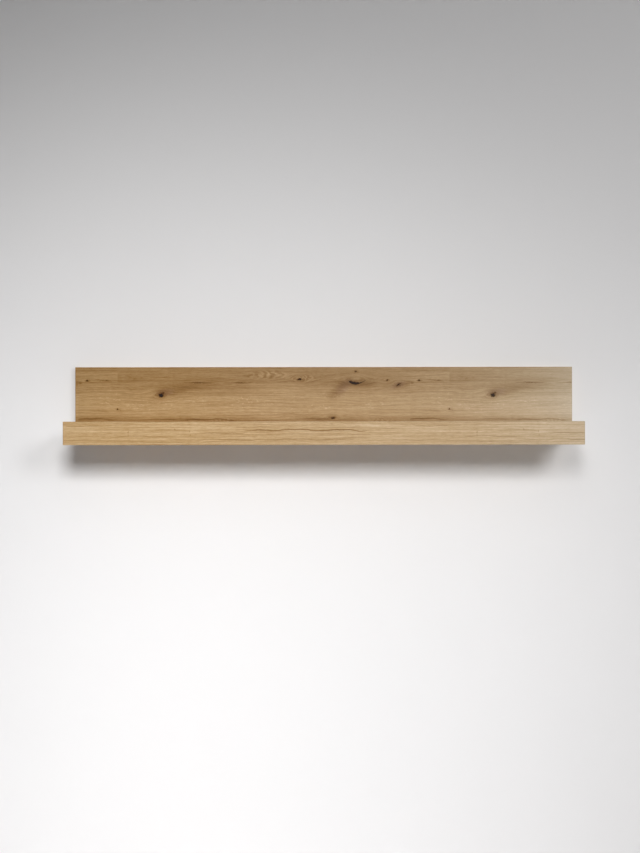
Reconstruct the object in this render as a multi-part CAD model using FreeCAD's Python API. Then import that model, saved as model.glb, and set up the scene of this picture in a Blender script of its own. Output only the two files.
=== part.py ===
import FreeCAD, Part
import math
import os

# Wall shelf in knotty oak decor, in millimetres.
#
# A back panel hangs flat on the wall. A board stands out from its foot, and a rail
# closes the board's front edge: it stands above the board as a lip that keeps things
# from sliding off, and hangs below it as an apron that hides the underside.
#
# X runs along the shelf, +Y points into the wall and Z is up. The origin lies on the
# panel's rear face, midway between the two wall screws that the hangers drop onto.

# Boards
shelf_width = 1500.0
panel_height = 198.5
panel_thickness = 22.0
board_depth = 176.0
board_thickness = 22.0
rail_thickness = 22.0
lip_height = 11.5
apron_height = 34.0

# Edge bands, glued over the boards' raw edges
band_thickness = 1.0
band_round = 0.6

# Hanger plates, let in flush at the panel's rear
hanger_inset = 150.0
hanger_drop = 45.0
plate_width = 60.0
plate_thickness = 2.0
plate_corner = 5.0
plate_margin = 7.0
plate_clearance = 0.3
plate_sink = 0.2
keyhole_entry_radius = 5.5
keyhole_slot_radius = 2.9
keyhole_rise = 14.0
pocket_radius = 8.0
pocket_depth = 8.0

# Screws that hold the hanger plates
hanger_screw_inset = 8.0
hanger_screw_length = 16.0
hanger_screw_crest = 1.75
hanger_screw_core = 1.2
hanger_screw_head = 3.5
hanger_screw_head_height = 1.9
hanger_screw_pitch = 1.6
hanger_screw_recess = 4.0
hanger_screw_recess_width = 0.9
hanger_screw_recess_depth = 1.5

# Fixings along the shelf
fixing_inset = 70.0
fixing_pitch = 32.0
fit_clearance = 0.1
end_clearance = 1.0

# Dowels, glued across both joints
dowel_radius = 4.0
dowel_length = 35.0
dowel_seat = 12.0
dowel_chamfer = 0.8
dowel_flutes = 10
dowel_flute_radius = 0.4

# Assembly screws, driven through the panel into the board's rear edge
screw_count = 5
screw_length = 50.0
screw_crest = 3.5
screw_core = 2.4
screw_head = 5.0
screw_head_height = 3.0
screw_shank = 20.0
screw_pitch = 3.0
screw_tip = 4.0
screw_tip_radius = 1.0
screw_sink = 0.5
screw_key = 4.0
screw_key_depth = 2.6
key_sides = 6

# Cam fittings, which draw the rail against the board's front edge
cam_count = 4
cam_radius = 7.4
cam_height = 15.5
cam_setback = 34.0
cam_sink = 0.3
cam_slot_length = 9.0
cam_slot_width = 1.5
cam_slot_depth = 2.8
bolt_thread_length = 11.0
bolt_crest = 3.0
bolt_core = 2.3
bolt_pitch = 1.8
bolt_collar = 3.7
bolt_collar_height = 3.0
bolt_neck = 2.5
bolt_head = 3.4
bolt_head_height = 3.2
bolt_clearance = 0.3
cap_radius = 8.6
cap_thickness = 1.2
cap_round = 0.5
cap_peg_length = 2.0
cap_peg_clearance = 0.15

# Cuts run past the faces that they open
overrun = 3.0
full_turn = 360.0

# Places that follow from the sizes above
half_width = shelf_width / 2
wall_plane = 0.0
panel_front = wall_plane - panel_thickness
board_front = panel_front - board_depth
rail_front = board_front - rail_thickness
panel_top = hanger_drop
panel_bottom = panel_top - panel_height
board_bottom = panel_bottom
board_top = board_bottom + board_thickness
board_middle = board_bottom + board_thickness / 2
rail_bottom = board_bottom - apron_height
rail_top = board_top + lip_height
plate_rear = wall_plane - plate_sink
plate_front = plate_rear - plate_thickness
plate_top = keyhole_slot_radius + plate_margin
plate_bottom = -(keyhole_rise + keyhole_entry_radius + plate_margin)
plate_middle = (plate_top + plate_bottom) / 2
cam_axis = board_front + cam_setback

towards_front = FreeCAD.Vector(0, -1, 0)
towards_wall = FreeCAD.Vector(0, 1, 0)
upwards = FreeCAD.Vector(0, 0, 1)


# Basic shapes

def block(x_span, y_span, z_span):
    """A box between two limits along each axis."""
    spans = (x_span, y_span, z_span)
    sizes = [high - low for low, high in spans]
    corner = FreeCAD.Vector(*[low for low, high in spans])
    return Part.makeBox(*sizes, corner)


def rod(radius, start, end):
    """A round bar from one point to another."""
    run = end.sub(start)
    return Part.makeCylinder(radius, run.Length, start, run)


def turned(outline, base, direction):
    """A solid turned from an outline of radii and distances along its axis."""
    points = [FreeCAD.Vector(radius, 0, along) for radius, along in outline]
    points.insert(0, FreeCAD.Vector(0, 0, outline[0][1]))
    points.append(FreeCAD.Vector(0, 0, outline[-1][1]))
    points.append(points[0])
    face = Part.Face(Part.makePolygon(points))
    solid = face.revolve(FreeCAD.Vector(0, 0, 0), upwards, full_turn)
    solid.Placement = FreeCAD.Placement(base, FreeCAD.Rotation(upwards, direction))
    return solid


def thread_outline(core, crest, start, end, pitch):
    """The ridges of a thread between two distances along a screw."""
    turns = max(1, int((end - start) / pitch))
    step = (end - start) / turns
    points = []
    for turn in range(turns):
        root = start + turn * step
        points += [(core, root), (crest, root + step / 2)]
    return points + [(core, end)]


def edges_to_wall(box):
    """The four edges of a box that run from front to rear."""
    return [edge for edge in box.Edges if abs(edge.tangentAt(edge.FirstParameter).y) == 1]


def spread(count, inset):
    """Evenly spaced places along the shelf, the outer ones an inset from its ends."""
    reach = half_width - inset
    return [-reach + 2 * reach * place / (count - 1) for place in range(count)]


# Where the fixings sit along the shelf

def screw_places():
    return spread(screw_count, fixing_inset)


def panel_dowel_places():
    """Midway between neighbouring assembly screws."""
    places = screw_places()
    return [(left + right) / 2 for left, right in zip(places, places[1:])]


def cam_places():
    return spread(cam_count, fixing_inset)


def rail_dowel_places():
    """One pitch from each cam, towards the middle of the shelf."""
    return [place - math.copysign(fixing_pitch, place) for place in cam_places()]


def hanger_places():
    """One hanger near each end of the shelf."""
    return [hanger_inset - half_width, half_width - hanger_inset]


# Dowels

def dowel(x, y, z):
    """A fluted dowel that starts at y, deep in the front piece, and runs to the rear."""
    outline = [
        (dowel_radius - dowel_chamfer, 0),
        (dowel_radius, dowel_chamfer),
        (dowel_radius, dowel_length - dowel_chamfer),
        (dowel_radius - dowel_chamfer, dowel_length),
    ]
    start = FreeCAD.Vector(x, y, z)
    peg = turned(outline, start, towards_wall)
    for flute in range(dowel_flutes):
        angle = 2 * math.pi * flute / dowel_flutes
        side = FreeCAD.Vector(math.cos(angle), 0, math.sin(angle)) * dowel_radius
        groove_start = start + side - towards_wall * overrun
        groove_end = start + side + towards_wall * (dowel_length + overrun)
        peg = peg.cut(rod(dowel_flute_radius, groove_start, groove_end))
    return peg


def dowel_hole(x, z, mouth, depth, direction):
    """A bore for a dowel, from its mouth into the board, past the face at the mouth."""
    start = FreeCAD.Vector(x, mouth, z) - direction * overrun
    end = FreeCAD.Vector(x, mouth, z) + direction * depth
    return rod(dowel_radius + fit_clearance, start, end)


def panel_dowels():
    rear = panel_front + dowel_seat
    return [dowel(x, rear - dowel_length, board_middle) for x in panel_dowel_places()]


def rail_dowels():
    front = board_front - dowel_seat
    return [dowel(x, front, board_middle) for x in rail_dowel_places()]


# Assembly screws

def assembly_screw(x):
    """A countersunk screw with a hexagonal socket, its head just under the panel's rear face."""
    outline = [
        (screw_head, 0),
        (screw_crest, screw_head_height),
        (screw_crest, screw_shank),
    ]
    outline += thread_outline(screw_core, screw_crest, screw_shank, screw_length - screw_tip, screw_pitch)
    outline += [(screw_tip_radius, screw_length)]
    base = FreeCAD.Vector(x, wall_plane - screw_sink, board_middle)
    screw = turned(outline, base, towards_front)
    return screw.cut(hexagonal_socket(base))


def hexagonal_socket(base):
    """The room for a key in a screw head that faces the wall."""
    corner_reach = screw_key / 2 / math.cos(math.pi / key_sides)
    mouth = base + towards_wall * overrun
    corners = []
    for corner in range(key_sides + 1):
        angle = 2 * math.pi * corner / key_sides
        corners.append(mouth + FreeCAD.Vector(math.cos(angle), 0, math.sin(angle)) * corner_reach)
    return Part.Face(Part.makePolygon(corners)).extrude(towards_front * (overrun + screw_key_depth))


def assembly_screws():
    return [assembly_screw(x) for x in screw_places()]


def assembly_screw_hole(x):
    """The stepped bore through the panel and into the board, with its countersink."""
    radius = screw_crest + fit_clearance
    head = screw_head + fit_clearance
    outline = [
        (head, -(screw_sink + overrun)),
        (head, 0),
        (radius, screw_head_height),
        (radius, screw_length + end_clearance),
    ]
    base = FreeCAD.Vector(x, wall_plane - screw_sink, board_middle)
    return turned(outline, base, towards_front)


# Hangers

def keyhole(x, depth_span):
    """The hole in a hanger plate: a round entry for the screw's head and a slot above it."""
    rear, front = depth_span
    entry_rear = FreeCAD.Vector(x, rear, -keyhole_rise)
    entry_front = FreeCAD.Vector(x, front, -keyhole_rise)
    seat_rear = FreeCAD.Vector(x, rear, 0)
    seat_front = FreeCAD.Vector(x, front, 0)
    entry = rod(keyhole_entry_radius, entry_rear, entry_front)
    seat = rod(keyhole_slot_radius, seat_rear, seat_front)
    slot_span = (x - keyhole_slot_radius, x + keyhole_slot_radius)
    slot = block(slot_span, (front, rear), (-keyhole_rise, 0))
    return entry.fuse([slot, seat]).removeSplitter()


def plate_blank(x, grow, depth_span):
    """The outline of a hanger plate, grown all round, with rounded corners."""
    x_span = (x - plate_width / 2 - grow, x + plate_width / 2 + grow)
    blank = block(x_span, depth_span, (plate_bottom - grow, plate_top + grow))
    return blank.makeFillet(plate_corner + grow, edges_to_wall(blank))


def hanger_screw_places(x):
    reach = plate_width / 2 - hanger_screw_inset
    return [x - reach, x + reach]


def hanger_screw_base(x):
    return FreeCAD.Vector(x, plate_rear, plate_middle)


def hanger_screw_hole(x):
    """The countersunk hole in the plate and the pilot bore in the panel behind it."""
    radius = hanger_screw_crest + fit_clearance
    head = hanger_screw_head + fit_clearance
    outline = [
        (head, -overrun),
        (head, 0),
        (radius, hanger_screw_head_height),
        (radius, hanger_screw_length + end_clearance),
    ]
    return turned(outline, hanger_screw_base(x), towards_front)


def hanger_plate(x):
    plate = plate_blank(x, 0, (plate_front, plate_rear))
    tools = [keyhole(x, (plate_rear + overrun, plate_front - overrun))]
    tools += [hanger_screw_hole(place) for place in hanger_screw_places(x)]
    return plate.cut(tools)


def hanger_recess(x):
    """The flat recess for a plate, and the deeper pocket for the wall screw's head."""
    recess = plate_blank(x, plate_clearance, (plate_front, wall_plane + overrun))
    pocket_rear = plate_front + overrun
    pocket_front = plate_front - pocket_depth
    upper = rod(pocket_radius, FreeCAD.Vector(x, pocket_rear, 0), FreeCAD.Vector(x, pocket_front, 0))
    lower = upper.translated(FreeCAD.Vector(0, 0, -keyhole_rise))
    x_span = (x - pocket_radius, x + pocket_radius)
    between = block(x_span, (pocket_front, pocket_rear), (-keyhole_rise, 0))
    return [recess, upper, lower, between]


def hanger_screw(x):
    """A small countersunk wood screw with a cross recess."""
    thread_end = hanger_screw_length - hanger_screw_pitch
    outline = [(hanger_screw_head, 0)]
    outline += thread_outline(
        hanger_screw_core, hanger_screw_crest, hanger_screw_head_height, thread_end, hanger_screw_pitch)
    outline += [(0, hanger_screw_length)]
    base = hanger_screw_base(x)
    screw = turned(outline, base, towards_front)
    return screw.cut(cross_recess(base, hanger_screw_recess, hanger_screw_recess_width,
                                  hanger_screw_recess_depth))


def cross_recess(base, length, width, depth):
    """Two crossing grooves in a screw head that faces the wall."""
    y_span = (base.y - depth, base.y + overrun)
    grooves = []
    for long_x, long_z in ((length, width), (width, length)):
        x_span = (base.x - long_x / 2, base.x + long_x / 2)
        z_span = (base.z - long_z / 2, base.z + long_z / 2)
        grooves.append(block(x_span, y_span, z_span))
    return grooves


def hanger_screws():
    return [hanger_screw(place) for x in hanger_places() for place in hanger_screw_places(x)]


# Cam fittings

def cam_bolt(x):
    """A bolt that screws into the rail's rear face and reaches into the cam."""
    neck_start = bolt_thread_length + bolt_collar_height
    neck_end = bolt_thread_length + cam_setback - bolt_head_height / 2
    outline = thread_outline(bolt_core, bolt_crest, 0, bolt_thread_length, bolt_pitch)
    outline += [
        (bolt_collar, bolt_thread_length),
        (bolt_collar, neck_start),
        (bolt_neck, neck_start),
        (bolt_neck, neck_end),
        (bolt_head, neck_end),
        (bolt_head, neck_end + bolt_head_height),
    ]
    return turned(outline, FreeCAD.Vector(x, board_front - bolt_thread_length, board_middle), towards_wall)


def cam_bolts():
    return [cam_bolt(x) for x in cam_places()]


def cam_bolt_hole(x):
    """The thread's bore in the rail and the wider bore in the board's edge, up to the cam."""
    mouth = FreeCAD.Vector(x, board_front, board_middle)
    thread_end = mouth + towards_front * (bolt_thread_length + end_clearance)
    neck_end = mouth + towards_wall * cam_setback
    return [
        rod(bolt_crest + fit_clearance, mouth, thread_end),
        rod(bolt_collar + bolt_clearance, mouth, neck_end),
    ]


def cam(x):
    """The cam housing, with a cross slot below and a way in for the bolt's head."""
    foot = FreeCAD.Vector(x, cam_axis, board_bottom + cam_sink)
    drum = rod(cam_radius, foot, foot + upwards * cam_height)
    middle = FreeCAD.Vector(x, cam_axis, board_middle)
    way_start = middle - towards_wall * (cam_radius + overrun)
    way_end = middle + towards_wall * (bolt_head_height / 2 + bolt_clearance)
    way_in = rod(bolt_head + bolt_clearance, way_start, way_end)
    z_span = (foot.z - overrun, foot.z + cam_slot_depth)
    slots = []
    for long_x, long_y in ((cam_slot_length, cam_slot_width), (cam_slot_width, cam_slot_length)):
        x_span = (x - long_x / 2, x + long_x / 2)
        y_span = (cam_axis - long_y / 2, cam_axis + long_y / 2)
        slots.append(block(x_span, y_span, z_span))
    return drum.cut([way_in] + slots)


def cams():
    return [cam(x) for x in cam_places()]


def cam_hole(x):
    """The housing's bore in the board's underside."""
    mouth = FreeCAD.Vector(x, cam_axis, board_bottom)
    top = mouth + upwards * (cam_sink + cam_height + fit_clearance)
    return rod(cam_radius + fit_clearance, mouth - upwards * overrun, top)


def cam_cap(x):
    """A thin cover that clips into the cam's slot and hides its bore."""
    seat = FreeCAD.Vector(x, cam_axis, board_bottom)
    disc = rod(cap_radius, seat, seat - upwards * cap_thickness)
    lower_rim = [edge for edge in disc.Edges
                 if len(edge.Vertexes) == 1 and edge.CenterOfMass.z < board_bottom - cap_thickness / 2]
    disc = disc.makeFillet(cap_round, lower_rim)
    half_peg = cam_slot_width / 2 - cap_peg_clearance
    reach = cam_slot_length / 2 - cap_peg_clearance
    z_span = (board_bottom, board_bottom + cap_peg_length)
    arm_x = block((x - reach, x + reach), (cam_axis - half_peg, cam_axis + half_peg), z_span)
    arm_y = block((x - half_peg, x + half_peg), (cam_axis - reach, cam_axis + reach), z_span)
    return disc.fuse([arm_x, arm_y]).removeSplitter()


def cam_caps():
    return [cam_cap(x) for x in cam_places()]


# Boards and their edge bands

def rounded(x_span, y_span, z_span):
    """A board's outside, its edge bands included, with every arris eased."""
    blank = block(x_span, y_span, z_span)
    return blank.makeFillet(band_round, blank.Edges)


def banded(outside, x_span, y_span, z_span):
    """The board inside its bands, and the bands by side: top, bottom, left and right."""
    left, right = x_span
    bottom, top = z_span
    deep = (y_span[0] - overrun, y_span[1] + overrun)
    long = (left - overrun, right + overrun)
    inner_x = (left + band_thickness, right - band_thickness)
    inner_z = (bottom + band_thickness, top - band_thickness)
    core = outside.common(block(inner_x, deep, inner_z))
    bands = {
        "top": outside.common(block(long, deep, (top - band_thickness, top + overrun))),
        "bottom": outside.common(block(long, deep, (bottom - overrun, bottom + band_thickness))),
        "left": outside.common(block((left - overrun, left + band_thickness), deep, inner_z)),
        "right": outside.common(block((right - band_thickness, right + overrun), deep, inner_z)),
    }
    return core, bands


def panel_and_bands():
    spans = ((-half_width, half_width), (panel_front, wall_plane), (panel_bottom, panel_top))
    core, bands = banded(rounded(*spans), *spans)
    tools = [dowel_hole(x, board_middle, panel_front, dowel_seat + end_clearance, towards_wall)
             for x in panel_dowel_places()]
    tools += [assembly_screw_hole(x) for x in screw_places()]
    for x in hanger_places():
        tools += hanger_recess(x)
        tools += [hanger_screw_hole(place) for place in hanger_screw_places(x)]
    return core.cut(tools), bands


def rail_and_bands():
    spans = ((-half_width, half_width), (rail_front, board_front), (rail_bottom, rail_top))
    core, bands = banded(rounded(*spans), *spans)
    tools = [dowel_hole(x, board_middle, board_front, dowel_seat + end_clearance, towards_front)
             for x in rail_dowel_places()]
    for x in cam_places():
        tools += cam_bolt_hole(x)
    return core.cut(tools), bands


def board_and_bands():
    """The board has bands at its ends only: the panel and the rail cover its long edges."""
    y_span = (board_front, panel_front)
    z_span = (board_bottom, board_top)
    outside = block((-half_width, half_width), y_span, z_span)
    outside = outside.makeFillet(band_round, edges_to_wall(outside))
    inner = half_width - band_thickness
    deep = (board_front - overrun, panel_front + overrun)
    high = (board_bottom - overrun, board_top + overrun)
    core = outside.common(block((-inner, inner), deep, high))
    bands = {
        "left": outside.common(block((-half_width - overrun, -inner), deep, high)),
        "right": outside.common(block((inner, half_width + overrun), deep, high)),
    }
    seat = dowel_length - dowel_seat + end_clearance
    tools = [dowel_hole(x, board_middle, panel_front, seat, towards_front) for x in panel_dowel_places()]
    tools += [dowel_hole(x, board_middle, board_front, seat, towards_wall) for x in rail_dowel_places()]
    tools += [assembly_screw_hole(x) for x in screw_places()]
    for x in cam_places():
        tools += cam_bolt_hole(x)
        tools.append(cam_hole(x))
    return core.cut(tools), bands


def shelf_nodes():
    """Every piece of the shelf, by the name of its node."""
    panel, panel_bands = panel_and_bands()
    board, board_bands = board_and_bands()
    rail, rail_bands = rail_and_bands()
    left_hanger, right_hanger = hanger_places()
    nodes = {
        "back_panel": [panel],
        "shelf_board": [board],
        "front_rail": [rail],
        "left_hanger_plate": [hanger_plate(left_hanger)],
        "right_hanger_plate": [hanger_plate(right_hanger)],
        "hanger_screws": hanger_screws(),
        "panel_dowels": panel_dowels(),
        "rail_dowels": rail_dowels(),
        "assembly_screws": assembly_screws(),
        "cam_bolts": cam_bolts(),
        "cams": cams(),
        "cam_caps": cam_caps(),
    }
    for owner, bands in (("panel", panel_bands), ("board", board_bands), ("rail", rail_bands)):
        for side, band in bands.items():
            nodes[f"{owner}_{side}_band"] = [band]
    return nodes


os.makedirs("parts", exist_ok=True)
for name, shapes in shelf_nodes().items():
    solids = [solid for shape in shapes for solid in shape.Solids]
    shape = solids[0] if len(solids) == 1 else Part.makeCompound(solids)
    shape.exportStep(f"parts/{name}.step")
    box = shape.BoundBox
    print(f"{name:20s} solids {len(shape.Solids):2d}  volume {shape.Volume:12.1f}  valid {shape.isValid()}"
          f"  X {box.XMin:8.2f} {box.XMax:8.2f}  Y {box.YMin:8.2f} {box.YMax:8.2f}"
          f"  Z {box.ZMin:8.2f} {box.ZMax:8.2f}")
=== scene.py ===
# %% [markdown]
# # A wall shelf in knotty oak
#
# This lesson dresses a wall shelf that already exists as a CAD model. A tall back panel
# hangs flat on the wall, a board stands out from its foot, and a rail closes the
# board's front edge. All three are coated chipboard with a printed oak decor.
#
# Blender adds what the CAD can't show: the decor, the raw chipboard in the bores, the
# metal of the fittings, the wall and the light. The CAD model comes in as a fixed
# frame. Its pieces stay where they are, and a new piece takes its place from them.

import math

import bmesh
import bpy
from mathutils import Matrix, Vector


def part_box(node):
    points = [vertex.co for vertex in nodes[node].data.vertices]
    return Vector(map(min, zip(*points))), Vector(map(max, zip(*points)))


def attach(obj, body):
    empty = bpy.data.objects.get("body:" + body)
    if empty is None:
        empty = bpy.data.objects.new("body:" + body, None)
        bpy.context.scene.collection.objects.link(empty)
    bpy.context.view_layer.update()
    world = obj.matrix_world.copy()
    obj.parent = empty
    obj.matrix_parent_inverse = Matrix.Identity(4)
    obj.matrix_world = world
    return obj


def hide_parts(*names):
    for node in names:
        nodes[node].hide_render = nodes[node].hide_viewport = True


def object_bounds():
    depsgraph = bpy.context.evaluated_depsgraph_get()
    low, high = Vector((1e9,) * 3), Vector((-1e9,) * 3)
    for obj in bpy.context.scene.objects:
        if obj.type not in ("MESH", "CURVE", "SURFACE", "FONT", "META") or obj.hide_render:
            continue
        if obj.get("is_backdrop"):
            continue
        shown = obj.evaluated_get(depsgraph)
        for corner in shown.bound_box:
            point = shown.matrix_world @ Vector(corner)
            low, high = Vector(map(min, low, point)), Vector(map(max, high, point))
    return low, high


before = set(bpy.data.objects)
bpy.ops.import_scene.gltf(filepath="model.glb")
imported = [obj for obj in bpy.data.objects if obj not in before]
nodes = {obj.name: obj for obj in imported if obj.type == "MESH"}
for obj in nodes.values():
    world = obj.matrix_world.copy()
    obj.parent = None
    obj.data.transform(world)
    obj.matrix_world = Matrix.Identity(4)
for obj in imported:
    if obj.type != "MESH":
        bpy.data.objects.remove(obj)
cad_low, cad_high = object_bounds()
print("CAD pieces:", len(nodes))
print("CAD size in metres:", tuple(round(size, 4) for size in cad_high - cad_low))

# %% [markdown]
# ## Where the boards are
#
# X runs along the shelf, Y points into the wall and Z is up. The origin is on the rear
# of the back panel. The places of boards and fittings are read from the frame's boxes,
# so a change to the CAD carries over by itself.

# %% Read the boards' places from the frame
X, Y, Z = 0, 1, 2
millimetre = 0.001
panel_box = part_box("back_panel")
board_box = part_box("shelf_board")
rail_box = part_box("front_rail")
wall_plane = panel_box[1].y


def rounded(sizes):
    """Sizes in millimetres, for a print."""
    return [round(1000 * size, 1) for size in sizes]


def print_size(name, size):
    print(name, "in millimetres:", round(1000 * size, 2))


for name, (low, high) in {"panel": panel_box, "board": board_box, "rail": rail_box}.items():
    print(name, "from", rounded(low), "to", rounded(high))

# %% [markdown]
# ## The camera
#
# The photograph looks at the shelf straight from the front, from about four metres. So
# far off, the shelf's top and underside both vanish behind the rail. The camera leans
# by a hair, as one that is held by hand does.

# %% Place the camera
def add_object(name, data):
    """Puts a new object into the scene."""
    thing = bpy.data.objects.new(name, data)
    bpy.context.scene.collection.objects.link(thing)
    return thing


camera_data = bpy.data.cameras.new("camera")
camera_data.sensor_width = 36.0
camera_data.lens = 56.51
camera = add_object("camera", camera_data)
camera.location = (-0.0112, -4.065, -0.1347)
camera.rotation_euler = (math.radians(90.0), math.radians(0.07), 0.0)
bpy.context.scene.camera = camera
bpy.context.scene.view_settings.view_transform = "Standard"
print("camera", round(camera_data.lens, 2), "mm lens,", round(-camera.location.y, 3), "m from the wall")

# %% [markdown]
# ## A short hand for node graphs
#
# A material is a graph of nodes, and a graph takes many lines to write. Two small
# classes keep the later cells short. The first adds nodes to any tree, and its sums
# take plain numbers as well as the outputs of other nodes. The second adds what only
# materials need, such as colours, noise and bumps.

# %% Helper: a graph that can do sums
class Graph:
    """Adds nodes to one tree."""

    def __init__(self, tree):
        self.tree = tree

    def feed(self, socket, value):
        """Joins a socket to another node's output, or writes a plain value in it."""
        if isinstance(value, bpy.types.NodeSocket):
            self.tree.links.new(value, socket)
        else:
            socket.default_value = value

    def node(self, kind, inputs=None, **settings):
        """Adds a node with its settings, and feeds its inputs by name or number."""
        node = self.tree.nodes.new(kind)
        for name, value in settings.items():
            setattr(node, name, value)
        for name, value in (inputs or {}).items():
            self.feed(node.inputs[name], value)
        return node

    def maths(self, operation, *values):
        return self.node("ShaderNodeMath", dict(enumerate(values)), operation=operation).outputs[0]

    def plus(self, first, second):
        return self.maths("ADD", first, second)

    def minus(self, first, second):
        return self.maths("SUBTRACT", first, second)

    def over(self, first, second):
        return self.maths("DIVIDE", first, second)

    def times(self, first, *others):
        for other in others:
            first = self.maths("MULTIPLY", first, other)
        return first


print("sums ready")

# %% Helper: a graph for a material
class Shading(Graph):
    """Adds nodes for colours and surfaces."""

    def step(self, value, low, high, start=0.0, end=1.0, way="SMOOTHSTEP"):
        """Goes from start to end as the value goes from low to high, softly or straight."""
        inputs = {"Value": value, "From Min": low, "From Max": high, "To Min": start, "To Max": end}
        return self.node("ShaderNodeMapRange", inputs, interpolation_type=way).outputs[0]

    def ramp(self, value, stops):
        """A colour ramp, from pairs of a place between 0 and 1 and a colour."""
        node = self.node("ShaderNodeValToRGB", {0: value})
        elements = node.color_ramp.elements
        while len(elements) < len(stops):
            elements.new(0.5)
        for element, (place, colour) in zip(elements, stops):
            element.position = place
            element.color = (*colour, 1.0)
        return node.outputs[0]

    def blend(self, factor, first, second):
        """Mixes two colours."""
        inputs = {"Factor": factor, 6: first, 7: second}
        return self.node("ShaderNodeMix", inputs, data_type="RGBA").outputs[2]

    def noise(self, place, scale, detail=2.0, roughness=0.5):
        """Soft noise between 0 and 1, with this many features to the metre."""
        inputs = {"Vector": place, "Scale": scale, "Detail": detail, "Roughness": roughness}
        return self.node("ShaderNodeTexNoise", inputs).outputs

    def bump(self, strength, relief, height):
        """A surface direction that follows a height."""
        inputs = {"Strength": strength, "Distance": relief, "Height": height}
        return self.node("ShaderNodeBump", inputs).outputs[0]

    def coat(self, surface, inputs):
        """Shades a surface from a set of named inputs."""
        self.feed(surface, self.node("ShaderNodeBsdfPrincipled", inputs).outputs[0])

    def place(self):
        """Where the shaded point lies on its piece, in metres."""
        return self.node("ShaderNodeTexCoord").outputs["Object"]

    def axes(self, place):
        """A place's X, Y and Z as plain numbers."""
        return self.node("ShaderNodeSeparateXYZ", {0: place}).outputs

    def channels(self, colour):
        """The red, green and blue shares of a colour, as plain numbers."""
        return self.node("ShaderNodeSeparateColor", {0: colour}).outputs


print("shading ready")

# %% Helper: an empty material
def new_material(name):
    """The material, its graph and the output's surface socket."""
    material = bpy.data.materials.new(name)
    material.use_nodes = True
    material.node_tree.nodes.clear()
    graph = Shading(material.node_tree)
    return material, graph, graph.node("ShaderNodeOutputMaterial").inputs["Surface"]


print("material helper ready")

# %% [markdown]
# ## The wall and the floor
#
# The wall is painted plaster. Only a window is left out of it behind the panel,
# half a millimetre inside its outline, so that light and camera can reach the panel's
# rear. Seen from behind, the wall lets the look through, as a stage wall that is lifted
# away would. It is a grid of three columns and three rows of quads with the middle one
# left out, which is simpler than cutting a hole in a sheet.

# %% Build the wall round its window
wall_reach = 3.0
wall_top = 2.4
floor_level = -1.6
floor_depth = 6.0
window_lap = 0.5 * millimetre


def stage_sheet(name, corners, faces):
    """A flat sheet that isn't part of the shelf."""
    mesh = bpy.data.meshes.new(name)
    mesh.from_pydata(corners, [], faces)
    sheet = add_object(name, mesh)
    sheet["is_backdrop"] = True
    print(name, len(mesh.polygons), "faces, normal", tuple(round(n) for n in mesh.polygons[0].normal))
    return sheet


window_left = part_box("panel_left_band")[0].x + window_lap
window_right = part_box("panel_right_band")[1].x - window_lap
window_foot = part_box("panel_bottom_band")[0].z + window_lap
window_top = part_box("panel_top_band")[1].z - window_lap
columns = [-wall_reach, window_left, window_right, wall_reach]
rows = [floor_level, window_foot, window_top, wall_top]
wall_corners = [(x, wall_plane, z) for z in rows for x in columns]
# Each quad is known by its lower left corner, and the one at corner 5 is the window
wall_faces = []
for first in (0, 1, 2, 4, 6, 8, 9, 10):
    above = first + len(columns)
    wall_faces.append((first, first + 1, above + 1, above))
wall = stage_sheet("wall", wall_corners, wall_faces)

# %% Build the floor
floor_ends = [(-1, -1), (1, -1), (1, 1), (-1, 1)]
floor_corners = [(wall_reach * across, floor_depth * along, floor_level) for across, along in floor_ends]
floor = stage_sheet("floor", floor_corners, [(0, 1, 2, 3)])

# %% [markdown]
# ## Paint for the wall and the floor
#
# Matt paint is a plain rough shader. Two things are added. Its back lets every ray
# through, so the wall hides nothing from behind. And the camera sees the floor darker
# than it is, with a glow that makes up for it. So the floor stays pale from its lit
# middle to its far corners, and the shelf's shadow on it stays too.

# %% Helper: matt paint with a clear back
matt = 0.9


def paint(name, colour, seen_colour, glow):
    """Paint that may look different to the camera than to the light in the room."""
    material, graph, surface = new_material(name)
    camera_ray = graph.node("ShaderNodeLightPath").outputs["Is Camera Ray"]
    coat = graph.node("ShaderNodeBsdfPrincipled", {
        "Base Color": graph.blend(camera_ray, colour, seen_colour), "Roughness": matt,
        "Specular IOR Level": 0.0, "Emission Color": seen_colour,
        "Emission Strength": graph.times(camera_ray, glow),
    })
    behind = graph.node("ShaderNodeNewGeometry").outputs["Backfacing"]
    clear = graph.node("ShaderNodeBsdfTransparent")
    one_sided = graph.node("ShaderNodeMixShader", {0: behind, 1: coat.outputs[0], 2: clear.outputs[0]})
    graph.feed(surface, one_sided.outputs[0])
    print("paint:", name)
    return material


print("paint helper ready")

# %% Paint the wall and the floor
plaster_grey = (0.93, 0.922, 0.924, 1.0)
seen_floor = (0.55, 0.545, 0.546, 1.0)
floor_glow = 0.80
wall.data.materials.append(paint("wall_paint", plaster_grey, plaster_grey, 0.0))
floor.data.materials.append(paint("floor_paint", plaster_grey, seen_floor, floor_glow))

# %% [markdown]
# ## Light
#
# The photograph has two soft shadows on the wall: a dark one straight below the shelf,
# and a short one that leans to the left. So there are two lamps high in front, one near
# the middle and one to the right, and a wide one under the ceiling that softens both. A
# fourth lamp stands behind for views of the rear. The world adds a little light from
# everywhere, and looks brighter to the camera and to glossy metal than it lights.

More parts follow.
